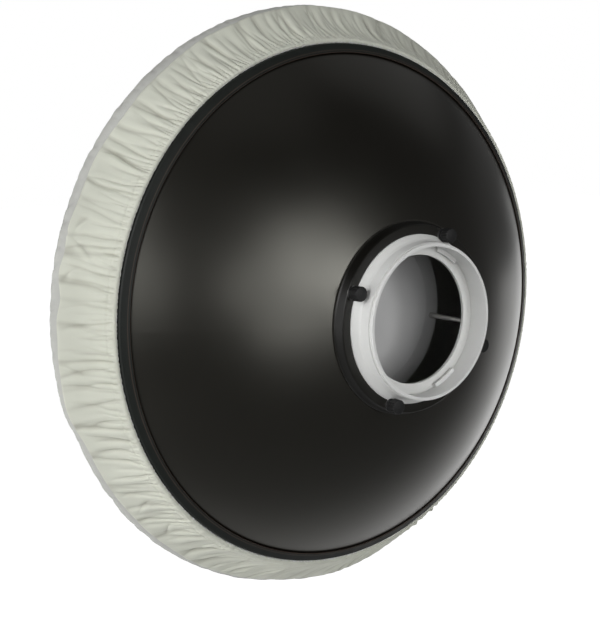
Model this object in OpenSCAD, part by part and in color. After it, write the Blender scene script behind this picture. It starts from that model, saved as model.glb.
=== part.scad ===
// Round studio-flash reflector (beauty dish) with an interchangeable adapter ring
// and a slip-on diffuser sock.
// Row frame: +Z up, +Y backwards along the optical axis, origin at the middle of the
// neck's mouth, where the flash head goes in. Sections are drawn as [radius, s], with s
// measured backwards from the plane where the rim is widest.

/* [Dish] */
// Outer diameter of the rim
rim_d = 560; // [540:5:600]
// Depth from the rim plane to the flat land under the collar
dish_depth = 102; // [90:1:115]
// Thickness of the spun sheet
sheet_t = 1.5; // [1.2:0.1:1.8]
// Radial width of the edging that covers the dish's rim
trim_w = 9.8; // [9:0.2:11]
// How far the edging's side wall runs forwards
trim_len = 9.5; // [8:0.5:12]

/* [Collar] */
// Outer diameter of the collar where it meets the dish
collar_d = 199; // [198:1:204]
// Outer diameter of the collar's back face
collar_face_d = 192; // [190:1:195]
// Height of the collar above the dish
collar_h = 11; // [10:0.5:13]
// Diameter of the pocket that holds the adapter ring's flange
pocket_d = 174; // [174:0.5:175]

/* [Adapter ring] */
// Bore of the neck, which slides over the front of the flash head
neck_bore_d = 152; // [150:0.5:153]
// Outer diameter of the neck's lip
lip_d = 159; // [158.5:0.5:160]
// Distance from the collar's back face to the neck's mouth
neck_len = 23.5; // [22:0.5:28]
// Opening for the lamp inside the stop flange
lamp_hole_d = 132; // [124:1:136]
// Number of bayonet lugs
lug_count = 3; // [2:1:4]

/* [Clamps] */
// Clock angle of the first clamp, from the top towards +X
clamp_clock = 68; // [60:1:76]
// Diameter of the circle that the clamps stand on
clamp_circle_d = 181.4; // [181:0.1:182]
// Diameter of a clamp knob
knob_d = 15; // [14:0.5:15.5]
// Length of a clamp knob
knob_len = 13; // [11:0.5:16]

/* [Deflector] */
// Diameter of the deflector disc
deflector_d = 200; // [196:1:220]
// Free length of the posts that carry it
post_len = 60; // [50:1:66]
// How far the disc is dished towards the mouth
deflector_rise = 9; // [5:0.5:14]

/* [Diffuser] */
// Greatest diameter of the diffuser sock
sock_d = 645; // [635:1:660]
// Distance from the rim plane to the flat front of the sock
sock_ahead = 70; // [62:1:80]
// Radius of the sock's rounded front edge
sock_edge_r = 16; // [12:1:18]
// Modelled thickness of the cloth
cloth_t = 1.2; // [1:0.1:1.5]

/* [Hidden] */
$fn = 96;

// Dish: a spherical bowl through the edge of the collar's land and a point by the edging
rim_r = rim_d / 2;
land_r = collar_d / 2 + 1.5;
bowl_edge = [rim_r - trim_w, 5.2];
bowl_s = (land_r * land_r - bowl_edge.x * bowl_edge.x
    + dish_depth * dish_depth - bowl_edge.y * bowl_edge.y) / (2 * (dish_depth - bowl_edge.y));
bowl_r = norm([land_r, dish_depth - bowl_s]);
sheet_edge_r = rim_r - 3.2;
neck_hole_r = 84.6;

// Edging: a channel pushed over the dish's raw edge
trim_proud = 2.2;
trim_slot_gap = 0.05;
trim_round = 2.8;
trim_front_round = 1.5;

// Levels along the axis
face_s = dish_depth + collar_h;
mouth_s = face_s + neck_len;
inside_s = dish_depth - sheet_t;
backing_t = 2;
post_top_s = inside_s - backing_t;
post_foot_s = post_top_s - post_len;

// Adapter ring
flange_s = face_s - 2;
flange_face_s = face_s + 0.2;
flange_r = pocket_d / 2 - 0.4;
neck_root = [80.7, face_s + 8.4];
lip_w = 2.5;
groove_w = 2.5;
groove_depth = 1.3;
socket_depth = 18.5;
lug_room = 5;
stop_t = 3;
skirt_r = neck_hole_r - 0.4;
lug_angle = 22;
lug_h = 4;

// Clamps and fasteners
clamp_count = 4;
stud_r = 2;
run_gap = 0.05;
washer_r = 7;
washer_t = 1.2;
insert_r = 3.2;
insert_len = 9;
knob_s = flange_face_s + washer_t;
spot_r = washer_r + 1;
screw_clock = clamp_clock + 30;
post_clock = clamp_clock - 46;
post_r = 3.2;
screw_head_r = 3.9;
screw_head_h = 2.6;
screw_depth = 6;
fix_r = clamp_circle_d / 2;

// Deflector
deflector_t = 1.2;
deflector_bowl_r = fix_r - 8;
nut_r = 4.4;
nut_h = 3.2;
small_washer_r = 4.6;
small_washer_t = 0.8;

// Diffuser sock
hem_tube_r = 2.4;
hem_gap = 0.6;
hem = [rim_r + hem_gap + hem_tube_r, -hem_tube_r];
elastic_r = 1.3;
edge_mid = [sock_d / 2 - sock_edge_r, sock_edge_r - sock_ahead];
seam_angle = 30;
seam_out = [cos(seam_angle), sin(seam_angle)];
seam = edge_mid + sock_edge_r * seam_out;
hem_leave = -42;
side_sag = 4;
front_crown = 3;
hoop_r = 1.5;
hoop_gap = 6.5;

// ---------- helpers ----------

// Points on an arc about a centre, from angle a to angle b
function arc(mid, r, a, b, steps) =
    [for (i = [0 : steps]) mid + r * [cos(a + (b - a) * i / steps), sin(a + (b - a) * i / steps)]];

// Points on an arc through two ends that bulges to the left of the way from p to q
function bulged(p, q, rise, steps) =
    let (half = norm(q - p) / 2, r = (half * half + rise * rise) / (2 * rise),
         along = (q - p) / (2 * half), left = [-along.y, along.x],
         mid = (p + q) / 2 + left * (rise - r), turn = asin(half / r))
    [for (i = [0 : steps]) let (t = -turn + 2 * turn * i / steps)
        mid + r * (along * sin(t) + left * cos(t))];

function reversed(list) = [for (i = [len(list) - 1 : -1 : 0]) list[i]];

// Turns the drawing axis backwards and puts the mouth of the neck at the origin
module in_row() {
    rotate([-90, 0, 0]) translate([0, 0, -mouth_s]) children();
}

// Moves children to a clock angle, seen from the front, at a distance from the axis
module at_clock(angle, r) {
    rotate([0, 0, angle - 90]) translate([r, 0, 0]) children();
}

// A plain round bar or hole between two levels
module bar(r, from_s, to_s) {
    translate([0, 0, from_s]) cylinder(r = r, h = to_s - from_s);
}

// A revolved section, kept smooth all round
module revolved(points) {
    rotate_extrude($fn = 180) polygon(points);
}

// ---------- dish ----------

// Part of a ball about the bowl's centre, within a radius of the axis and below a level
module bowl_solid(ball_r, within_r, top_s) {
    intersection() {
        translate([0, 0, bowl_s]) sphere(r = ball_r, $fn = 180);
        bar(within_r, -2 * trim_len, top_s);
    }
}

module dish_shell() {
    color("#1c1c1a") in_row() difference() {
        bowl_solid(bowl_r, sheet_edge_r, dish_depth);
        bowl_solid(bowl_r - sheet_t, rim_r, inside_s);
        bar(neck_hole_r, inside_s - 1, dish_depth + 1);
        fixing_holes(stud_r + 0.2, inside_s - 1, dish_depth + 1);
    }
}

module rim_trim() {
    inner_r = bowl_edge.x;
    lip_s = bowl_edge.y + trim_proud;
    side_mid = [rim_r - trim_round, 0.5];
    front_mid = [rim_r - trim_front_round, trim_front_round - trim_len];
    color("#222523") in_row() difference() {
        revolved(concat(
            [[inner_r, 0.5], [inner_r, lip_s - 1], [inner_r + 0.3, lip_s - 0.3], [inner_r + 1, lip_s]],
            arc(side_mid, trim_round, 62, 0, 6),
            arc(front_mid, trim_front_round, 0, -90, 5),
            [[rim_r - 5.5, -trim_len]]
        ));
        difference() {
            bowl_solid(bowl_r + trim_slot_gap, sheet_edge_r + trim_slot_gap, dish_depth);
            bowl_solid(bowl_r - sheet_t - trim_slot_gap, rim_r, dish_depth);
        }
    }
}

// The holes that the collar's screws and the deflector's posts pass through
module fixing_holes(r, from_s, to_s) {
    for (i = [0 : 3]) at_clock(screw_clock + 90 * i, fix_r) bar(r, from_s, to_s);
    for (i = [0 : 2]) at_clock(post_clock + 120 * i, fix_r) bar(r, from_s, to_s);
}

// ---------- mount ----------

module mount_collar() {
    pocket_r = pocket_d / 2;
    base_r = collar_d / 2;
    top_r = collar_face_d / 2;
    color("#26261f") in_row() difference() {
        revolved([
            [neck_hole_r, dish_depth], [base_r, dish_depth], [base_r, dish_depth + 1.5],
            [base_r - 0.8, dish_depth + 3], [top_r + 0.5, face_s - 1.2],
            [top_r, face_s - 0.4], [top_r - 0.6, face_s], [pocket_r + 0.4, face_s],
            [pocket_r, face_s - 0.4], [pocket_r, flange_s], [neck_hole_r, flange_s]
        ]);
        fixing_holes(stud_r + run_gap, dish_depth - 1, dish_depth + screw_depth + 0.5);
        for (i = [0 : clamp_count - 1])
            at_clock(clamp_clock + 90 * i, fix_r)
                bar(insert_r + run_gap, face_s - insert_len, face_s + 1);
    }
}

module thread_inserts() {
    color("#b08d3f") in_row()
        for (i = [0 : clamp_count - 1])
            at_clock(clamp_clock + 90 * i, fix_r) difference() {
                bar(insert_r, face_s - insert_len, face_s);
                bar(stud_r + run_gap, face_s - insert_len - 1, face_s + 1);
            }
}

module backing_ring() {
    color("#8f9296") in_row() difference() {
        bar(land_r - 2.5, post_top_s, inside_s);
        bar(neck_hole_r, post_top_s - 1, inside_s + 1);
        fixing_holes(stud_r + 0.2, post_top_s - 1, inside_s + 1);
    }
}

module collar_screws() {
    color("#b9bcc0") in_row()
        for (i = [0 : 3])
            at_clock(screw_clock + 90 * i, fix_r) difference() {
                union() {
                    bar(stud_r, post_top_s - 0.5, dish_depth + screw_depth);
                    translate([0, 0, post_top_s - screw_head_h]) hull() {
                        cylinder(r = screw_head_r - 1, h = 0.1, $fn = 32);
                        translate([0, 0, 1]) cylinder(r = screw_head_r, h = screw_head_h - 1, $fn = 32);
                    }
                }
                cross_recess(post_top_s - screw_head_h);
            }
}

// A cross-shaped driver slot, cut upwards from a screw head's face
module cross_recess(at_s) {
    for (turn = [0, 90])
        rotate([0, 0, turn]) translate([-2, -0.45, at_s - 0.1]) cube([4, 0.9, 1.5]);
}

module adapter_ring() {
    bore_r = neck_bore_d / 2;
    lip_r = lip_d / 2;
    hole_r = lamp_hole_d / 2;
    room_r = bore_r + 1.5;
    stop_s = mouth_s - socket_depth - lug_room;
    groove_s = mouth_s - lip_w - groove_w;
    color("#cfd0cc") in_row() difference() {
        union() {
            revolved([
                [hole_r, stop_s - stop_t], [hole_r + 1, stop_s - stop_t - 1],
                [skirt_r - 1, inside_s], [skirt_r, inside_s + 1], [skirt_r, flange_s],
                [flange_r, flange_s], [flange_r, flange_face_s],
                [neck_root.x + 1.2, neck_root.y - 2.4], [neck_root.x, neck_root.y],
                [lip_r + 0.3, groove_s], [lip_r + 0.3 - groove_depth, groove_s + 0.4],
                [lip_r - groove_depth, groove_s + groove_w - 0.4], [lip_r, groove_s + groove_w],
                [lip_r, mouth_s - 0.8], [lip_r - 0.8, mouth_s], [bore_r, mouth_s],
                [bore_r, mouth_s - socket_depth], [room_r, mouth_s - socket_depth],
                [room_r, stop_s], [hole_r, stop_s]
            ]);
            for (i = [0 : lug_count - 1])
                rotate([0, 0, 360 / lug_count * i]) bayonet_lug(stop_s);
        }
        for (i = [0 : clamp_count - 1])
            at_clock(clamp_clock + 90 * i, fix_r) bar(spot_r, flange_face_s, mouth_s - lip_w);
    }
}

// An inward lug behind the stop, which holds the flash head once it has turned
module bayonet_lug(stop_s) {
    bore_r = neck_bore_d / 2;
    rotate([0, 0, -lug_angle / 2]) rotate_extrude(angle = lug_angle, $fn = 180)
        translate([bore_r - lug_h, stop_s + lug_room - 2.6]) square([lug_h + 3, 2.6]);
}

// ---------- deflector ----------

module deflector_disc() {
    rim_s = post_foot_s;
    r = deflector_bowl_r;
    ball_r = (r * r + deflector_rise * deflector_rise) / (2 * deflector_rise);
    ball_mid = [0, rim_s - deflector_t - deflector_rise + ball_r];
    turn = asin(r / ball_r);
    color("#d8d9da") in_row() difference() {
        revolved(concat(
            arc(ball_mid, ball_r, -90, -90 + turn, 14),
            [[deflector_d / 2 - 0.6, rim_s - deflector_t], [deflector_d / 2, rim_s - deflector_t / 2],
             [deflector_d / 2 - 0.6, rim_s], [r - 0.3, rim_s]],
            reversed(arc(ball_mid, ball_r - deflector_t, -90, -90 + turn - 0.3, 14))
        ));
        for (i = [0 : 2])
            at_clock(post_clock + 120 * i, fix_r) bar(stud_r + 0.2, rim_s - 5, rim_s + 5);
    }
}

// A round standoff with a stud at each end: the upper one screws into the collar
module deflector_post(index) {
    stud_out = deflector_t + small_washer_t + nut_h + 0.6;
    color("#c4c6c8") in_row() at_clock(post_clock + 120 * (index - 1), fix_r) {
        bar(post_r, post_foot_s, post_top_s);
        bar(stud_r, post_top_s - 1, dish_depth + screw_depth);
        bar(stud_r, post_foot_s - stud_out, post_foot_s + 1);
    }
}

module deflector_washers() {
    color("#b9bcc0") in_row()
        for (i = [0 : 2]) at_clock(post_clock + 120 * i, fix_r) difference() {
            bar(small_washer_r, post_foot_s - deflector_t - small_washer_t, post_foot_s - deflector_t);
            bar(stud_r + 0.2, post_foot_s - 9, post_foot_s);
        }
}

// Domed hexagon nuts on the front of the deflector
module deflector_cap_nuts() {
    seat_s = post_foot_s - deflector_t - small_washer_t;
    color("#c4c6c8") in_row()
        for (i = [0 : 2]) at_clock(post_clock + 120 * i, fix_r) difference() {
            union() {
                translate([0, 0, seat_s - nut_h]) cylinder(r = nut_r, h = nut_h, $fn = 6);
                intersection() {
                    translate([0, 0, seat_s - nut_h]) sphere(r = nut_r - 0.8);
                    bar(nut_r, seat_s - nut_h - nut_r, seat_s - nut_h + 0.5);
                }
            }
            bar(stud_r + run_gap, seat_s - nut_h - 0.8, seat_s + 1);
        }
}

// ---------- clamps ----------

module at_clamp(index) {
    in_row() at_clock(clamp_clock + 90 * (index - 1), fix_r) children();
}

module clamp_washer(index) {
    color("#9fa2a5") at_clamp(index) difference() {
        bar(washer_r, flange_face_s, flange_face_s + washer_t);
        bar(stud_r + run_gap, flange_face_s - 1, knob_s + 1);
    }
}

// A fluted plastic head with a waist below it and a shallow dome on its end
module clamp_knob(index) {
    knob_r = knob_d / 2;
    flutes = 14;
    top_s = knob_s + knob_len;
    color("#151515") at_clamp(index) difference() {
        rotate_extrude($fn = 64) polygon(concat(
            [[0, knob_s], [knob_r - 2, knob_s], [knob_r - 1.6, knob_s + 1.6],
             [knob_r - 0.6, knob_s + 2.2], [knob_r, knob_s + 3], [knob_r, top_s - 2]],
            arc([knob_r - 1.5, top_s - 2], 1.5, 15, 80, 4),
            [[0, top_s]]
        ));
        for (i = [0 : flutes - 1])
            rotate([0, 0, 360 / flutes * i]) translate([knob_r + 0.45, 0, knob_s + 2.2])
                cylinder(r = 1.1, h = knob_len, $fn = 24);
        bar(stud_r, knob_s - 1, top_s - 4);
    }
}

module clamp_stud(index) {
    color("#a9acb0") at_clamp(index) difference() {
        bar(stud_r, face_s - insert_len + 0.3, knob_s + knob_len - 4);
        translate([0, 0, face_s - insert_len + 0.3]) difference() {
            cylinder(r = stud_r + 1, h = 0.6);
            translate([0, 0, -0.1]) cylinder(r1 = stud_r - 0.7, r2 = stud_r + 0.2, h = 0.8);
        }
    }
}

// ---------- diffuser sock ----------

// A round ring about the axis through a point of the section
module hoop(r, middle) {
    rotate_extrude($fn = 180) translate(middle) circle(r = r, $fn = 24);
}

// The band runs from inside the hem's casing to the seam, and sags inwards a little
module diffuser_side() {
    start = hem + hem_tube_r * [cos(hem_leave), sin(hem_leave)] + [-2, 0.5];
    inner_start = start + cloth_t * [-0.7, -0.7];
    inner_seam = seam - cloth_t * seam_out;
    color("#d5d7cf") in_row() difference() {
        union() {
            revolved(concat(
                bulged(start, seam, -side_sag, 12),
                reversed(bulged(inner_start, inner_seam, -side_sag, 12))
            ));
            hoop(hem_tube_r, hem);
        }
        hoop(elastic_r + 0.1, hem);
    }
}

module diffuser_front() {
    crown = [0, -sock_ahead - front_crown];
    shoulder = [edge_mid.x * 0.55, crown.y + 0.8];
    thick = [0, cloth_t];
    color("#dcdedb") in_row() revolved(concat(
        arc(edge_mid, sock_edge_r, seam_angle, -84, 12),
        [shoulder, crown, crown + thick, shoulder + thick],
        arc(edge_mid, sock_edge_r - cloth_t, -84, seam_angle, 12)
    ));
}

module hem_elastic() {
    color("#e8e8e4") in_row() hoop(elastic_r, hem);
}

// The spring-wire hoop in a casing inside the sock's edge, which holds the edge out
module edge_hoop() {
    color("#9da0a4") in_row() hoop(hoop_r, seam - (cloth_t + hoop_r + hoop_gap) * seam_out);
}

// ---------- nodes ----------

dish_shell();
rim_trim();
mount_collar();
thread_inserts();
backing_ring();
collar_screws();
adapter_ring();
deflector_disc();
deflector_post(1);  // deflector_post_1
deflector_post(2);  // deflector_post_2
deflector_post(3);  // deflector_post_3
deflector_washers();
deflector_cap_nuts();
clamp_washer(1);  // clamp_washer_1
clamp_washer(2);  // clamp_washer_2
clamp_washer(3);  // clamp_washer_3
clamp_washer(4);  // clamp_washer_4
clamp_knob(1);  // clamp_knob_1
clamp_knob(2);  // clamp_knob_2
clamp_knob(3);  // clamp_knob_3
clamp_knob(4);  // clamp_knob_4
clamp_stud(1);  // clamp_stud_1
clamp_stud(2);  // clamp_stud_2
clamp_stud(3);  // clamp_stud_3
clamp_stud(4);  // clamp_stud_4
diffuser_front();
diffuser_side();
hem_elastic();
edge_hoop();
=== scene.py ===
"""Looks of a soft reflector: a satin black dish with a cloth diffuser stretched over its mouth.

Row frame, metres: +Y is backwards along the optical axis, +Z is up, and the origin is the mouth of
the adapter ring's neck. Round pieces are described by a radius and a place along Y.
"""
import math

import bpy
import numpy as np
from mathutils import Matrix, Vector


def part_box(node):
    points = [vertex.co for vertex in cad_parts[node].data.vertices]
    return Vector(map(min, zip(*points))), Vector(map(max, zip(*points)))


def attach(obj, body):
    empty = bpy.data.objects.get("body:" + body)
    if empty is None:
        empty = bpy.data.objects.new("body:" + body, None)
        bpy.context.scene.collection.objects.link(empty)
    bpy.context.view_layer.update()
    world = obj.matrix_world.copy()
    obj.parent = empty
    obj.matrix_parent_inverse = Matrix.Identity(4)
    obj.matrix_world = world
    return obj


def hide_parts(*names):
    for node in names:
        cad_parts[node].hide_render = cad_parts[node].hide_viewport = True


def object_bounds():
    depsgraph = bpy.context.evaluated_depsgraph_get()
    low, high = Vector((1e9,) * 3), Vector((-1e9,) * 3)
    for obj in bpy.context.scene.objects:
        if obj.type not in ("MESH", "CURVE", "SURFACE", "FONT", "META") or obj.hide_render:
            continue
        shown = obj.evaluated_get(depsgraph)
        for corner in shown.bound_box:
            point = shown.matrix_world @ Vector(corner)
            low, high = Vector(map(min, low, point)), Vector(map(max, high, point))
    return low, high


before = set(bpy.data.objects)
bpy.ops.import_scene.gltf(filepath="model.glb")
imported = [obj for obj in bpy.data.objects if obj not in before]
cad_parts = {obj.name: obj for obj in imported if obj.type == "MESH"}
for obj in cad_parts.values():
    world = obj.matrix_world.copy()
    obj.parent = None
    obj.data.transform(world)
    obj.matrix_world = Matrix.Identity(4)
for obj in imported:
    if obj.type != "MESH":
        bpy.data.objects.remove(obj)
CAD_BOX = [list(corner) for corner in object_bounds()]
MM = 0.001
TAU = 2 * math.pi
DEG = math.pi / 180

# ---------- places read from the frame ----------


def half_width(node):
    """The outer radius of a round node about the Y axis."""
    low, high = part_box(node)
    return (high[0] - low[0]) / 2


RIM_R = half_width("rim_trim")
SOCK_R = half_width("diffuser_front")
FRONT_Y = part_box("diffuser_front")[0][1]
ELASTIC_LOW, ELASTIC_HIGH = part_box("hem_elastic")
ELASTIC_R = (ELASTIC_HIGH[1] - ELASTIC_LOW[1]) / 2
HEM_Y = (ELASTIC_HIGH[1] + ELASTIC_LOW[1]) / 2
HEM_R = half_width("hem_elastic") - ELASTIC_R
CASING_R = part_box("diffuser_side")[1][1] - HEM_Y
EDGE_R = 16 * MM
CROWN = 3 * MM
EDGE_MID = (SOCK_R - EDGE_R, FRONT_Y + CROWN + EDGE_R)
LIP_R = RIM_R - 9.8 * MM


# ---------- camera, light and floor ----------

FOCAL_PX = 1259.4
FRAME_PX = 618
SENSOR = 36.0
CAMERA_AT = Vector((0.8574, 0.9094, 0.1961))
CAMERA_LOOKS = Vector((-0.5987, -0.7877, -0.1454))
FLOOR_Z = -1.3
FLOOR_SIZE = 40
FLOOR_FAR_GLOW = 1.05
FLOOR_NEAR_GLOW = 0.03
GLOW_FULL_Y = -1.05
GLOW_DIM_Y = 0.25


def make_camera():
    data = bpy.data.cameras.new("camera")
    data.sensor_width = SENSOR
    data.lens = FOCAL_PX * SENSOR / FRAME_PX
    camera = bpy.data.objects.new("camera", data)
    bpy.context.scene.collection.objects.link(camera)
    camera.location = CAMERA_AT
    camera.rotation_mode = "QUATERNION"
    camera.rotation_quaternion = CAMERA_LOOKS.to_track_quat("-Z", "Y")
    bpy.context.scene.camera = camera
    bpy.context.scene.view_settings.view_transform = "Standard"


# Softboxes: name, azimuth (0 is +Y, 90 is +X), elevation, width and height in metres, watts, beam spread
SOFTBOXES = (
    ("key_core", 3, 8, 0.8, 0.6, 0.56, 60),
    ("key_wide", 4, 10, 1.9, 1.3, 0.95, 60),
    ("key_left", 24, 6, 0.8, 0.8, 0.34, 60),
    ("key_right", -14, 5, 0.6, 0.8, 1.45, 60),
    ("key_top", 0, 21, 1.6, 0.65, 0.54, 60),
    ("key_low", 8, -8, 1.2, 0.5, 0.54, 60),
    ("side_strip", 57, 6, 0.7, 1.2, 0.42, 60),
    ("side_wide", 80, 20, 1.2, 1.6, 3.5, 60),
    ("side_fill", 95, 5, 2.2, 2.2, 22.0, 180),
    ("right_high", -100, 50, 2.2, 2.2, 2.6, 180),
    ("right_level", -100, 0, 2.2, 2.2, 0.9, 180),
    ("right_back", -125, -10, 1.6, 1.6, 4.0, 180),
    ("top_fill", 10, 75, 2.2, 2.2, 0.9, 120),
)
SOFTBOX_DISTANCE = 3.0


def make_softbox(name, azimuth, elevation, width, height, power, spread):
    """A softbox at a direction from the dish, aimed at it."""
    centre = Vector((0, CAD_BOX[0][1] * 0.5, 0))
    turn, rise = azimuth * DEG, elevation * DEG
    way = Vector((math.sin(turn) * math.cos(rise), math.cos(turn) * math.cos(rise), math.sin(rise)))
    data = bpy.data.lights.new(name, "AREA")
    data.shape = "RECTANGLE"
    data.size, data.size_y = width, height
    data.energy = power
    data.spread = spread * DEG
    light = bpy.data.objects.new(name, data)
    bpy.context.scene.collection.objects.link(light)
    light.location = centre + way * SOFTBOX_DISTANCE
    light.rotation_mode = "QUATERNION"
    light.rotation_quaternion = (-way).to_track_quat("-Z", "Y")


def make_lights():
    for softbox in SOFTBOXES:
        make_softbox(*softbox)


def make_world():
    """White behind the object; for its light, pale near the ground and dim overhead."""
    world = bpy.data.worlds.new("studio")
    bpy.context.scene.world = world
    world.use_nodes = True
    tree = world.node_tree
    tree.nodes.clear()
    add = tree.nodes.new
    coords = add("ShaderNodeTexCoord")
    split = add("ShaderNodeSeparateXYZ")
    ramp = add("ShaderNodeValToRGB")
    lift = add("ShaderNodeMapRange")
    lit, seen = add("ShaderNodeBackground"), add("ShaderNodeBackground")
    path, mix, out = add("ShaderNodeLightPath"), add("ShaderNodeMixShader"), add("ShaderNodeOutputWorld")
    lift.inputs["From Min"].default_value = -1
    ramp.color_ramp.elements[0].position = 0.45
    ramp.color_ramp.elements[0].color = (0.10, 0.10, 0.10, 1)
    ramp.color_ramp.elements[1].position = 0.85
    ramp.color_ramp.elements[1].color = (0.036, 0.036, 0.036, 1)
    seen.inputs["Color"].default_value = (1, 1, 1, 1)
    link = tree.links.new
    link(coords.outputs["Generated"], split.inputs[0])
    link(split.outputs["Z"], lift.inputs["Value"])
    link(lift.outputs["Result"], ramp.inputs["Fac"])
    link(ramp.outputs["Color"], lit.inputs["Color"])
    link(path.outputs["Is Camera Ray"], mix.inputs["Fac"])
    link(lit.outputs[0], mix.inputs[1])
    link(seen.outputs[0], mix.inputs[2])
    link(mix.outputs[0], out.inputs["Surface"])


def make_floor():
    """A pale floor with painted light: it glows where it lies beyond the object, as paper lit from below
    would, and hardly at all near it.
    """
    bpy.ops.mesh.primitive_plane_add(size=FLOOR_SIZE, location=(0, 0, FLOOR_Z))
    floor = bpy.context.object
    floor.name = "floor"
    paint = Paint("floor_paint", (0.62, 0.62, 0.62), 0.8)
    paint.vary(0.5, 0.03)
    place = paint.node("ShaderNodeSeparateXYZ")
    paint.link(paint.coords.outputs["Object"], place.inputs[0])
    # Painted light: the emission is full far along -Y and fades almost out near the object.
    glow = paint.ranged(place.outputs["Y"], FLOOR_FAR_GLOW, FLOOR_NEAR_GLOW, GLOW_FULL_Y, GLOW_DIM_Y)
    paint.shader.inputs["Emission Color"].default_value = (1, 1, 1, 1)
    paint.link(glow, paint.shader.inputs["Emission Strength"])
    floor.data.materials.append(paint.material)


# ---------- materials ----------


class Paint:
    """A Principled material with object-space detail added step by step."""

    def __init__(self, name, colour, roughness, metallic=0.0, specular=0.5):
        self.material = bpy.data.materials.new(name)
        self.material.use_nodes = True
        self.tree = self.material.node_tree
        self.shader = self.tree.nodes["Principled BSDF"]
        self.coords = self.tree.nodes.new("ShaderNodeTexCoord")
        self.colour = colour
        self.roughness = roughness
        self.height = None
        set_value = self.shader.inputs
        set_value["Base Color"].default_value = (*colour, 1)
        set_value["Roughness"].default_value = roughness
        set_value["Metallic"].default_value = metallic
        set_value["Specular IOR Level"].default_value = specular

    def node(self, kind, **inputs):
        made = self.tree.nodes.new(kind)
        for key, value in inputs.items():
            made.inputs[key.replace("_", " ")].default_value = value
        return made

    def link(self, source, target):
        self.tree.links.new(source, target)

    def noise(self, per_metre, detail=3.0, stretch=(1, 1, 1), space="Object"):
        """Noise with about per_metre features in a metre. Gives its Fac socket."""
        mapping = self.node("ShaderNodeMapping", Scale=stretch)
        texture = self.node("ShaderNodeTexNoise", Scale=per_metre, Detail=detail)
        self.link(self.coords.outputs[space], mapping.inputs["Vector"])
        self.link(mapping.outputs["Vector"], texture.inputs["Vector"])
        return texture.outputs["Fac"]

    def ranged(self, source, low, high, start=0.3, end=0.7):
        """Source's range start to end, taken to low to high."""
        change = self.node("ShaderNodeMapRange")
        for key, value in (("From Min", start), ("From Max", end), ("To Min", low), ("To Max", high)):
            change.inputs[key].default_value = value
        self.link(source, change.inputs["Value"])
        return change.outputs["Result"]

    def mixed(self, factor, dark, light):
        """A colour between dark and light. Each is a colour or a socket."""
        mix = self.tree.nodes.new("ShaderNodeMix")
        mix.data_type = "RGBA"
        self.link(factor, mix.inputs["Factor"])
        colour_a, colour_b = [i for i in mix.inputs if i.type == "RGBA"]
        for socket, value in ((colour_a, dark), (colour_b, light)):
            if isinstance(value, tuple):
                socket.default_value = (*value, 1)
            else:
                self.link(value, socket)
        return [o for o in mix.outputs if o.type == "RGBA"][0]

    def times(self, first, second):
        product = self.node("ShaderNodeMath")
        product.operation = "MULTIPLY"
        self.link(first, product.inputs[0])
        self.link(second, product.inputs[1])
        return product.outputs[0]

    def rings(self, scale):
        """Fine turned rings about the Y axis. Gives their Fac socket."""
        wave = self.node("ShaderNodeTexWave", Scale=scale, Distortion=0.6)
        wave.wave_type, wave.rings_direction = "RINGS", "Y"
        self.link(self.coords.outputs["Object"], wave.inputs["Vector"])
        return wave.outputs["Fac"]

    def radius(self):
        """The distance from the Y axis, in metres."""
        flat = self.node("ShaderNodeVectorMath")
        flat.operation = "MULTIPLY"
        flat.inputs[1].default_value = (1, 0, 1)
        length = self.node("ShaderNodeVectorMath")
        length.operation = "LENGTH"
        self.link(self.coords.outputs["Object"], flat.inputs[0])
        self.link(flat.outputs[0], length.inputs[0])
        return length.outputs["Value"]

    def attribute(self, name):
        """A value stored on the mesh's points."""
        made = self.node("ShaderNodeAttribute")
        made.attribute_name = name
        return made.outputs["Fac"]

    def tint(self, factor, colour):
        """Mixes the base colour towards colour by a factor socket."""
        socket = self.shader.inputs["Base Color"]
        self.link(self.mixed(factor, socket.links[0].from_socket, colour), socket)

    def vary(self, per_metre, amount, detail=3.0):
        """Lets the colour drift by amount, as a share, and the roughness with it."""
        drift = self.noise(per_metre, detail)
        dark = tuple(c * (1 - amount) for c in self.colour)
        light = tuple(min(1, c * (1 + amount)) for c in self.colour)
        self.link(self.mixed(drift, dark, light), self.shader.inputs["Base Color"])
        spread = 0.5 * amount
        rough = self.ranged(drift, self.roughness * (1 - spread), self.roughness * (1 + spread))
        self.link(rough, self.shader.inputs["Roughness"])

    def bump(self, height, strength, depth):
        """Adds a bump of a depth in metres on top of those already there."""
        made = self.node("ShaderNodeBump", Strength=strength, Distance=depth)
        self.link(height, made.inputs["Height"])
        if self.height is not None:
            self.link(self.height, made.inputs["Normal"])
        self.height = made.outputs["Normal"]
        self.link(self.height, self.shader.inputs["Normal"])


def satin_paint(name, colour, roughness, grain=0.35):
    """Powder coat: a fine pebbled skin with a slow drift in tone."""
    paint = Paint(name, colour, roughness)
    paint.vary(9, 0.12)
    paint.bump(paint.noise(700, 2.0), grain, 0.00006)
    return paint


def dish_material():
    """Satin black outside; satin silver with fine spinning lines inside."""
    paint = satin_paint("dish_satin_black", (0.0022, 0.0015, 0.0006), 0.32, 0.25)
    paint.shader.inputs["Specular IOR Level"].default_value = 1.0
    paint.shader.inputs["Specular Tint"].default_value = (1.0, 0.985, 0.89, 1)
    geometry = paint.node("ShaderNodeNewGeometry")
    facing = paint.node("ShaderNodeSeparateXYZ")
    paint.link(geometry.outputs["Normal"], facing.inputs[0])
    inside = paint.ranged(facing.outputs["Y"], 1, 0, -0.02, 0.02)
    black = paint.shader.inputs["Base Color"].links[0].from_socket
    silver = paint.mixed(paint.noise(30), (0.66, 0.66, 0.65), (0.76, 0.76, 0.755))
    paint.link(paint.mixed(inside, black, silver), paint.shader.inputs["Base Color"])
    paint.link(paint.ranged(inside, 0, 0.85, 0, 1), paint.shader.inputs["Metallic"])
    paint.bump(paint.times(paint.rings(160.0), inside), 0.18, 0.0001)
    return paint.material


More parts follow.
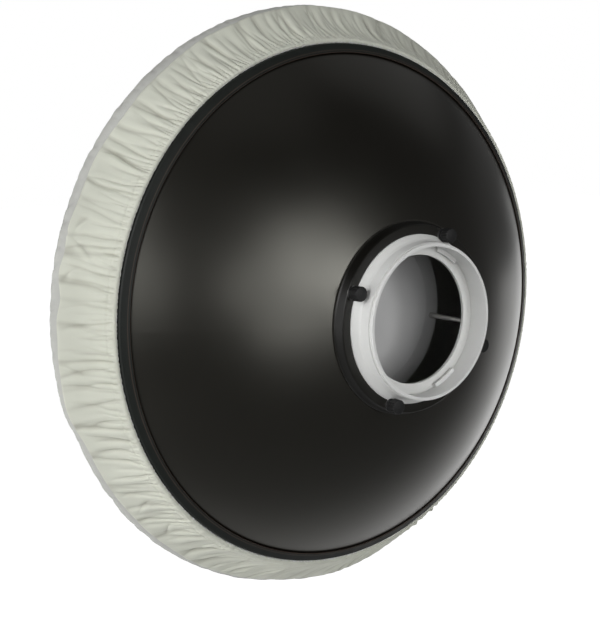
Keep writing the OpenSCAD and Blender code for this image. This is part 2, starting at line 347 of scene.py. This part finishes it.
def rubber_material():
    """Black rubber with two painted highlight lines, thin and brown: one at its inner lip and another
    further out.
    """
    paint = Paint("edging_rubber", (0.0088, 0.0112, 0.0094), 0.52, specular=0.36)
    paint.vary(60, 0.25)
    radius = paint.radius()
    # Painted highlights: two thin brown rings standing in for the lit edges at the trim's inner lip.
    for line_r, width in ((LIP_R + 0.4 * MM, 0.9 * MM), (LIP_R + 2.8 * MM, 0.6 * MM)):
        inner = paint.ranged(radius, 0, 1, line_r - width, line_r)
        outer = paint.ranged(radius, 1, 0, line_r, line_r + width)
        paint.tint(paint.times(inner, outer), (0.06, 0.042, 0.033))
    paint.bump(paint.noise(1500, 2.0), 0.3, 0.00005)
    paint.bump(paint.noise(35, 2.0), 0.25, 0.0003)
    return paint.material


def cast_material():
    """Black cast metal, a little paler on its sharp edges."""
    paint = Paint("collar_cast_black", (0.0040, 0.0037, 0.0026), 0.34, specular=0.28)
    paint.vary(25, 0.3)
    # Sharp edges are made paler, by their pointiness.
    paler_edges = paint.ranged(paint.node("ShaderNodeNewGeometry").outputs["Pointiness"], 0, 0.5, 0.52, 0.58)
    paint.tint(paler_edges, (0.06, 0.058, 0.052))
    paint.bump(paint.noise(900, 3.0), 0.45, 0.00008)
    return paint.material


def ring_material():
    """Light grey enamel, a little paler on its corners and dulled in patches."""
    paint = Paint("adapter_pale_enamel", (0.88, 0.885, 0.865), 0.38)
    paint.vary(18, 0.04)
    paint.bump(paint.noise(420, 2.0), 0.2, 0.00006)
    paint.bump(paint.rings(95.0), 0.3, 0.0002)
    edges = paint.node("ShaderNodeNewGeometry").outputs["Pointiness"]
    # Sharp corners are made paler, by their pointiness.
    paler_corners = paint.ranged(edges, 0, 0.6, 0.53, 0.6)
    enamel = paint.shader.inputs["Base Color"].links[0].from_socket
    paint.link(paint.mixed(paler_corners, enamel, (0.94, 0.94, 0.93)), paint.shader.inputs["Base Color"])
    return paint.material


def knob_material():
    """Moulded black nylon with a fine grain."""
    paint = Paint("knob_black_nylon", (0.010, 0.010, 0.010), 0.5, specular=0.4)
    paint.vary(120, 0.3)
    paint.bump(paint.noise(2500, 2.0), 0.35, 0.00004)
    return paint.material


def metal_material(name, colour, roughness, brush=(1, 1, 1)):
    """Bare metal with fine marks, drawn out along the axes whose brush number is under 1."""
    paint = Paint(name, colour, roughness, metallic=1.0)
    paint.vary(45, 0.12)
    paint.bump(paint.noise(900, 2.0, brush), 0.25, 0.00003)
    return paint.material


WEAVE_SCALE = 1250.0 / 6.2832
# The whitish colour of the painted highlight along the hem's edge.
HEM_HIGHLIGHT = (0.97, 0.98, 0.98)


def cloth_material(name, colour, sheen, crease_shade_colour):
    """Plain-woven polyester: crossed threads from the cloth's own coordinates, with painted shade in the
    creases and a painted highlight along the hem's edge.
    """
    paint = Paint(name, colour, 0.78, specular=0.25)
    uv = paint.coords.outputs["UV"]
    threads = []
    for direction in ("X", "Y"):
        wave = paint.node("ShaderNodeTexWave", Scale=WEAVE_SCALE, Distortion=1.2, Detail=1.0)
        wave.bands_direction = direction
        wave.inputs["Detail Scale"].default_value = 0.4
        paint.link(uv, wave.inputs["Vector"])
        threads.append(wave.outputs["Fac"])
    weave = paint.times(threads[0], threads[1])
    slubs = paint.noise(260, 2.0, (1, 0.12, 1), "UV")
    drift = paint.noise(14, 3.0)
    darker = tuple(c * 0.93 for c in colour)
    lighter = tuple(min(1, c * 1.04) for c in colour)
    base = paint.mixed(paint.ranged(drift, 0, 1), darker, lighter)
    streaked = paint.mixed(paint.ranged(slubs, 0, 0.25, 0.5, 0.8), base, darker)
    paint.link(streaked, paint.shader.inputs["Base Color"])
    # Painted shade: the creases are darkened towards the shade colour by their depth.
    paint.tint(paint.attribute("crease"), crease_shade_colour)
    # Painted highlight: the side of the hem's casing nearest the axis is whitened.
    paint.tint(paint.attribute("hem"), HEM_HIGHLIGHT)
    paint.bump(weave, 0.3, 0.00012)
    paint.bump(paint.noise(170, 3.0), 0.2, 0.0004)
    paint.shader.inputs["Sheen Weight"].default_value = sheen
    paint.shader.inputs["Sheen Roughness"].default_value = 0.4
    return paint.material


def elastic_material():
    """Braided elastic cord: fine ribs and a little fluff."""
    paint = Paint("elastic_braid", (0.74, 0.74, 0.71), 0.7, specular=0.3)
    paint.vary(400, 0.1)
    ribs = paint.node("ShaderNodeTexWave", Scale=180.0, Distortion=2.0)
    ribs.bands_direction = "DIAGONAL"
    paint.link(paint.coords.outputs["Object"], ribs.inputs["Vector"])
    paint.bump(ribs.outputs["Fac"], 0.4, 0.0002)
    paint.bump(paint.noise(3000, 2.0), 0.4, 0.00005)
    return paint.material


def dress(nodes, material):
    """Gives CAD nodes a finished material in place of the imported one."""
    for name in nodes:
        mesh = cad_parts[name].data
        mesh.materials.clear()
        mesh.materials.append(material)
        mesh.polygons.foreach_set("material_index", [0] * len(mesh.polygons))


def numbered(stem, count):
    return [f"{stem}_{i}" for i in range(1, count + 1)]


def dress_cad():
    """Gives every CAD node that no sheet replaces its material."""
    bright = metal_material("bright_steel", (0.56, 0.56, 0.57), 0.3, (1, 0.2, 1))
    dress(["dish_shell"], dish_material())
    dress(["hem_elastic"], elastic_material())
    dress(["rim_trim"], rubber_material())
    dress(["mount_collar"], cast_material())
    dress(["adapter_ring"], ring_material())
    dress(["thread_inserts"], metal_material("insert_brass", (0.62, 0.43, 0.17), 0.32))
    dress(["backing_ring", "edge_hoop"], metal_material("zinc_steel", (0.40, 0.40, 0.41), 0.42))
    dress(["collar_screws", "deflector_washers"], bright)
    dress(numbered("clamp_washer", 4) + numbered("clamp_stud", 4), bright)
    dress(numbered("clamp_knob", 4), knob_material())
    dress(["deflector_disc"], satin_paint("deflector_silver", (0.66, 0.66, 0.66), 0.34).material)
    posts = numbered("deflector_post", 3) + ["deflector_cap_nuts"]
    dress(posts, metal_material("post_nickel", (0.62, 0.61, 0.59), 0.2, (1, 0.1, 1)))


# ---------- cloth ----------

AROUND = 3600
ACROSS = 64
CLOTH_T = 0.5 * MM
BAND_SAG = 3.5 * MM
BAND_SWELL = 1.3 * MM
STITCH_FROM_HEM = 7 * MM
STITCH_DENT = 0.7 * MM
STITCH_WIDTH = 1.1 * MM
HEM_RUFFLE = 0.16 * MM
CASING_TURNS = (300, 12, 16)
FRONT_AROUND = 2400
EDGE_RINGS = 18
FLAT_RINGS = 44
TUCK_RINGS = 2


def smooth(x):
    """Eases from 0 to 1 as x goes from 0 to 1."""
    x = np.clip(x, 0, 1)
    return x * x * (3 - 2 * x)


def drift(angle, waves, seed, decay=0.5):
    """A smooth closed wander about 0 round the hoop, with harmonics up to waves."""
    rng = np.random.default_rng(seed)
    total = np.zeros_like(angle)
    for k in range(1, waves + 1):
        weight = 1 / (1 + (k / (waves * 0.6)) ** 2) ** decay
        total += weight * np.sin(k * angle + rng.uniform(0, TAU)) * rng.normal()
    return total / math.sqrt(waves)


def gap(angle, centre):
    """The angle from centre, taken the short way round."""
    return (angle - centre + math.pi) % TAU - math.pi


def valley(off, side):
    """A crease's section: a narrow valley with a soft puff on each side, fuller on the side given."""
    fuller = 0.42 * np.exp(-(((off - 1.9 * side) / 1.3) ** 2))
    thinner = 0.16 * np.exp(-(((off + 2.4 * side) / 1.6) ** 2))
    return np.exp(-np.abs(off) ** 1.35) - fuller - thinner


def hill(angle, centre, width):
    """A smooth hill, 1 high at a clock angle and wide by width, both in degrees."""
    return np.exp(-((gap(angle, centre * DEG) / (width * DEG)) ** 2))


def window(angle, start, rise, end, fall):
    """1 between two clock angles, with a smooth rise and fall as wide as given, all in degrees."""
    return smooth((angle - start * DEG) / (rise * DEG)) * smooth((end * DEG - angle) / (fall * DEG))


def far_side(angle):
    """0 at +X, the camera's side, and 1 at -X."""
    return 0.5 - 0.5 * np.cos(angle - 90 * DEG)


def sheared(angle):
    """How far the creases lean round the hoop: the band hangs askew at the bottom."""
    return -0.13 * hill(angle, 172, 32) - 0.035 * hill(angle, 125, 24)


class Creases:
    """Valleys that start at the gathered hem and run out across the band."""

    def __init__(self, count, seed, reach, width, depth, lean=0.03):
        rng = np.random.default_rng(seed)
        spot = (np.arange(count) + rng.uniform(-0.46, 0.46, count)) / count * TAU
        self.at = spot + 0.3 * np.sin(spot - 90 * DEG)
        self.reach = rng.uniform(*reach, count)
        self.width = rng.uniform(*width, count) * MM / RIM_R
        deeper = 1.15 - 0.2 * far_side(self.at) + 1.5 * hill(self.at, 206, 15)
        self.depth = rng.uniform(*depth, count) * MM * deeper
        self.lean = rng.normal(0, lean, count) + 0.5 * lean * drift(self.at, 6, seed + 1)
        self.lean += sheared(self.at)
        self.bend = rng.normal(0, 0.7 * lean, count)
        self.side = np.where(rng.uniform(size=count) < 0.5, -1.0, 1.0)
        self.wander = rng.uniform(0, TAU, count)

    def join(self, others, share):
        """Leans a share of the creases into the nearest of the others, so that pairs merge outwards."""
        nearest = np.array([gap(others.at, at)[np.argmin(np.abs(gap(others.at, at)))] for at in self.at])
        taken = np.arange(len(self.at)) % 10 < 10 * share
        self.lean = np.where(taken, nearest / np.maximum(self.reach, 0.2), self.lean)
        self.bend = np.where(taken, 0, self.bend)

    def depth_at(self, angle, across):
        """How far the cloth is drawn in. Across is 0 at the hem and 1 at the seam."""
        total = np.zeros((len(angle), len(across)))
        for i in range(len(self.at)):
            sway = 0.0025 * np.sin(7 * across + self.wander[i])
            line = self.at[i] + self.lean[i] * across + self.bend[i] * across * across + sway
            near = np.abs(gap(angle, line.mean())) < 0.14 + 0.6 * abs(self.lean[i])
            off = gap(angle[near][:, None], line[None, :]) / (self.width[i] * (1 + 1.5 * across))
            fade = smooth(1 - (across - 0.5 * self.reach[i]) / (0.5 * self.reach[i]))
            start = smooth(0.45 + across * 9)
            total[near] += self.depth[i] * valley(off, self.side[i]) * fade * start
        return total


# Short slanting creases on the band: clock angle, place across, slant in degrees, half length in mm
PUCKERS = (
    (71, 0.84, 62, 9),
    (75, 0.72, -38, 13),
    (80, 0.86, 48, 8),
    (97, 0.80, -30, 11),
    (128, 0.62, 24, 12),
    (132, 0.40, -20, 14),
    (136, 0.66, 36, 9),
    (186, 0.5, 40, 8),
    (189, 0.35, -40, 9),
    (196, 0.55, 30, 8),
    (201, 0.6, 12, 9),
    (207, 0.5, -35, 9),
    (213, 0.4, 55, 8),
)
PUCKER_DEPTH = 1.1 * MM
PUCKER_WIDTH = 2.3 * MM
PUCKER_BOW = 0.9 * MM


def pucker_depth(angle, across, band_width):
    """How far the puckers draw the cloth in."""
    total = np.zeros((len(angle), len(across)))
    for clock, place, slant, half_length in PUCKERS:
        along = gap(angle, clock * DEG)[:, None] * SOCK_R
        out = (across - place)[None, :] * band_width
        c, s = math.cos(slant * DEG), math.sin(slant * DEG)
        run, off = c * out + s * along, -s * out + c * along
        half = half_length * MM
        bowed = off - PUCKER_BOW * (run / half) ** 2
        total += PUCKER_DEPTH * np.exp(-((run / half) ** 2)) * valley(bowed / PUCKER_WIDTH, 1.0)
    return total


def mark(mesh, name, values):
    """Stores a value on each point of a mesh for its material."""
    layer = mesh.attributes.new(name, "FLOAT", "POINT")
    layer.data.foreach_set("value", values.astype(np.float32))


def make_sheet(name, points, uv, crease, hem=None, hub=None):
    """A cloth mesh from points[round, across], closed round the hoop, and over hub if there is one."""
    around, across = points.shape[:2]
    index = np.arange(around * across).reshape(around, across)
    after = np.roll(index, -1, axis=0)
    corners = [index[:, :-1], after[:, :-1], after[:, 1:], index[:, 1:]]
    faces = np.stack(corners, axis=-1).reshape(-1, 4).tolist()
    vertices, places = points.reshape(-1, 3).tolist(), uv.reshape(-1, 2)
    creases = crease.reshape(-1)
    hems = np.zeros_like(creases) if hem is None else hem.reshape(-1)
    if hub is not None:
        faces += [[a, b, len(vertices)] for a, b in zip(index[:, -1].tolist(), after[:, -1].tolist())]
        vertices.append(hub)
        places = np.vstack([places, [0, 0]])
        creases, hems = np.append(creases, 0), np.append(hems, 0)
    mesh = bpy.data.meshes.new(name)
    mesh.from_pydata(vertices, [], faces)
    used = np.empty(len(mesh.loops), dtype=np.int32)
    mesh.loops.foreach_get("vertex_index", used)
    layer = mesh.uv_layers.new(name="cloth")
    layer.data.foreach_set("uv", places[used].reshape(-1))
    # The painted shade of the creases and the painted highlight of the hem are kept on the points for the
    # material.
    mark(mesh, "crease", creases)
    mark(mesh, "hem", hems)
    mesh.shade_smooth()
    piece = bpy.data.objects.new(name, mesh)
    bpy.context.scene.collection.objects.link(piece)
    return piece


def apply_modifiers(piece):
    """Replaces the piece's mesh by what its modifiers make of it."""
    ready = piece.evaluated_get(bpy.context.evaluated_depsgraph_get())
    made = bpy.data.meshes.new_from_object(ready)
    piece.modifiers.clear()
    piece.data = made


def thicken(piece, thickness, offset):
    """Gives a sheet a thickness, inwards or outwards by the sign of offset."""
    solid = piece.modifiers.new("thickness", "SOLIDIFY")
    solid.thickness = thickness
    solid.offset = offset
    apply_modifiers(piece)
    piece.data.shade_smooth()


def around_axis(angle, radius, y):
    """Points at a radius and a Y for each clock angle."""
    return np.stack([radius * np.sin(angle), y, radius * np.cos(angle)], axis=-1)


def seam_turn(angle):
    """Where the seam lies on the front edge's round: it rides up above +X, and less at the bottom."""
    upper = hill(angle, 38, 30)
    crumpled = hill(angle, 80, 16)
    lower = window(angle, 100, 20, 200, 20)
    wander = 3 * drift(angle, 9, 5) + 2.5 * drift(angle, 44, 6) + 8 * crumpled * drift(angle, 60, 8)
    return (20 + 25 * upper + 9 * crumpled + 9 * lower + wander) * DEG


def outline_swell(angle):
    """How far the front edge strays from a true circle: it is pressed in at the bottom, more at +X."""
    pressed = 6.4 * window(angle, 104, 9, 192, 26) + 4.5 * window(angle, 205, 18, 272, 20)
    return (0.5 * drift(angle, 5, 11) + 0.3 * drift(angle, 40, 12) - pressed) * MM


def band_sections(angle, steps):
    """The side band's middle surface at rest, with its outward normals, for each angle."""
    turn = seam_turn(angle)
    swell = outline_swell(angle)
    seam_r = EDGE_MID[0] + EDGE_R * np.cos(turn) + swell
    seam_y = EDGE_MID[1] + EDGE_R * np.sin(turn)
    run_r, run_y = seam_r - HEM_R, seam_y - HEM_Y
    length = np.hypot(run_r, run_y)
    out_r, out_y = -run_y / length, run_r / length
    start_r, start_y = HEM_R + CASING_R * out_r, HEM_Y + CASING_R * out_y
    t = np.linspace(0, 1, steps)
    sag = -BAND_SAG * np.sin(math.pi * t) ** 1.2
    line_r = start_r[:, None] + (seam_r - start_r)[:, None] * t + sag * out_r[:, None]
    line_y = start_y[:, None] + (seam_y - start_y)[:, None] * t + sag * out_y[:, None]
    return t, line_r, line_y, out_r[:, None], out_y[:, None], length


def band_creases(angle, across, band_width):
    """All of the band's creases: long ones, shorter ones that run into them, fine gathers and puckers."""
    long = Creases(350, 21, reach=(0.7, 2.2), width=(0.9, 1.6), depth=(0.35, 1.35), lean=0.018)
    short = Creases(380, 33, reach=(0.25, 0.9), width=(0.7, 1.3), depth=(0.25, 0.8), lean=0.013)
    short.join(long, 0.2)
    fine = Creases(900, 47, reach=(0.04, 0.16), width=(0.5, 0.9), depth=(0.15, 0.45), lean=0.008)
    total = long.depth_at(angle, across) + short.depth_at(angle, across) + fine.depth_at(angle, across)
    return total + pucker_depth(angle, across, band_width)


def band_lift(angle, t, folds, band_width):
    """How far the band stands off its middle surface: swells, creases and the dent of the stitching."""
    swell = drift(angle, 60, 3)[:, None] * np.sin(math.pi * t) ** 0.7 * BAND_SWELL
    held = 0.22 + 0.78 * smooth((1 - t) * 6)
    stitched = STITCH_DENT * np.exp(-(((t * band_width - STITCH_FROM_HEM) / STITCH_WIDTH) ** 2))
    return (swell - folds) * held - stitched


def make_side():
    """The gathered side band, from the casing round the elastic to a tuck under the seam."""
    angle = np.arange(AROUND) / AROUND * TAU
    t, line_r, line_y, out_r, out_y, length = band_sections(angle, ACROSS)
    band_width = float(length.mean())
    folds = band_creases(angle, t, band_width)
    lift = band_lift(angle, t, folds, band_width)
    band_r, band_y = line_r + lift * out_r, line_y + lift * out_y
    ruffle = folds[:, :1] + HEM_RUFFLE * drift(angle, 700, 23)[:, None]
    casing = [casing_point(a, ruffle, out_r, out_y) for a in np.linspace(*CASING_TURNS)]
    tuck = [
        (band_r[:, -1:] - 1.0 * MM * out_r, band_y[:, -1:] - 1.0 * MM * out_y - 0.4 * MM),
        (band_r[:, -1:] - 2.2 * MM, band_y[:, -1:] - 1.6 * MM),
    ]
    radius = np.concatenate([c[0] for c in casing] + [band_r] + [p[0] for p in tuck], axis=1)
    y = np.concatenate([c[1] for c in casing] + [band_y] + [p[1] for p in tuck], axis=1)
    turn = np.repeat(angle[:, None], radius.shape[1], axis=1)
    points = around_axis(turn, radius, y)
    cut = np.cumsum(np.r_[0, np.hypot(np.diff(radius.mean(0)), np.diff(y.mean(0)))])
    uv = np.stack([turn * SOCK_R, np.repeat(cut[None, :], AROUND, axis=0)], axis=-1)
    # Painted shade: the share by which each point of the band is darkened, from the depth of its creases.
    crease = np.zeros_like(radius)
    crease[:, len(casing):len(casing) + ACROSS] = np.clip(folds / (1.9 * MM), 0, 1)
    # Painted highlight: the share by which the casing's side nearest the axis is whitened, changing at
    # random round the hoop.
    shown = np.clip(0.55 + 0.5 * drift(angle, 500, 27), 0, 1)[:, None]
    hem = shown * smooth((HEM_R - 0.35 * CASING_R - radius) / (0.3 * CASING_R))
    piece = make_sheet("sock_side", points, uv, crease, hem)
    # The last colour is that of the painted shade in the creases.
    piece.data.materials.append(
        cloth_material("side_polyester", (0.765, 0.78, 0.68), 0.25, (0.49, 0.49, 0.42))
    )
    thicken(piece, CLOTH_T, -1)
    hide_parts("diffuser_side")
    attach(piece, "diffuser")
    return piece


def casing_point(turn, ruffle, out_r, out_y):
    """A ring of the casing round the elastic, turn degrees from where the band leaves it."""
    c, s = math.cos(turn * DEG), math.sin(turn * DEG)
    radius = CASING_R - 0.7 * ruffle * (1 - abs(c) * 0.4)
    across_r, across_y = -out_y, out_r
    return (
        HEM_R + radius * (c * out_r + s * across_r),
        HEM_Y + radius * (c * out_y + s * across_y),
    )


def make_front():
    """The round front panel, from its tuck under the seam over the edge's round to the middle."""
    angle = np.arange(FRONT_AROUND) / FRONT_AROUND * TAU
    turn_at_seam = seam_turn(angle)[:, None]
    swell = outline_swell(angle)[:, None]
    bend = np.linspace(0, 1, EDGE_RINGS)[None, :]
    turn = turn_at_seam + (-math.pi / 2 - turn_at_seam) * bend
    edge_r = EDGE_MID[0] + EDGE_R * np.cos(turn) + swell * (1 - bend * 0.8)
    edge_y = EDGE_MID[1] + EDGE_R * np.sin(turn)
    share = np.linspace(1, 0.012, FLAT_RINGS)[None, 1:]
    flat_r = edge_r[:, -1:] * share
    flat_y = edge_y[:, -1:] - CROWN * (1 - share ** 2)
    tuck_r = edge_r[:, :1] - np.array([[2.4, 0.9]]) * MM
    tuck_y = edge_y[:, :1] + np.array([[1.4, 0.5]]) * MM
    radius = np.concatenate([tuck_r, edge_r, flat_r], axis=1)
    y = np.concatenate([tuck_y, edge_y, flat_y], axis=1)
    out = np.clip(radius / EDGE_MID[0], 0, 1.05)
    pull = drift(angle, 90, 17)[:, None] * np.exp(-(((out - 0.97) / 0.10) ** 2))
    ripple = drift(angle, 14, 18)[:, None] * out ** 4 * (out < 1.02)
    y = y + (0.22 * pull + 0.5 * ripple) * MM
    gathers = Creases(420, 61, reach=(0.4, 1.4), width=(1.4, 2.6), depth=(0.15, 0.5), lean=0.02)
    drawn = np.zeros_like(radius)
    edge = slice(TUCK_RINGS, TUCK_RINGS + EDGE_RINGS)
    drawn[:, edge] = gathers.depth_at(angle, bend[0]) * smooth(bend * 4) * smooth((1 - bend) * 2)
    rumple = 0.4 * MM * drift(angle, 120, 19)[:, None] * smooth((out - 1.0) / 0.03)
    radius = radius + rumple - drawn
    wide = np.repeat(angle[:, None], radius.shape[1], axis=1)
    points = around_axis(wide, radius, y)
    uv = np.stack([points[..., 0], points[..., 2]], axis=-1)
    # Painted shade: darker where the cloth near the edge is drawn forward and where the edge's round is
    # gathered in.
    crease = np.clip(-pull * 0.12, 0, 0.3) + np.clip(drawn / (0.8 * MM), 0, 0.8)
    piece = make_sheet("sock_front", points, uv, crease, hub=(0, float(y[:, -1].mean()), 0))
    # The last colour is that of the painted shade in the creases.
    piece.data.materials.append(
        cloth_material("front_polyester", (0.62, 0.625, 0.59), 0.15, (0.50, 0.50, 0.48))
    )
    thicken(piece, CLOTH_T, 1)
    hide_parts("diffuser_front")
    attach(piece, "diffuser")
    return piece


# ---------- run ----------

make_camera()
make_world()
make_lights()
make_floor()
dress_cad()
make_side()
make_front()
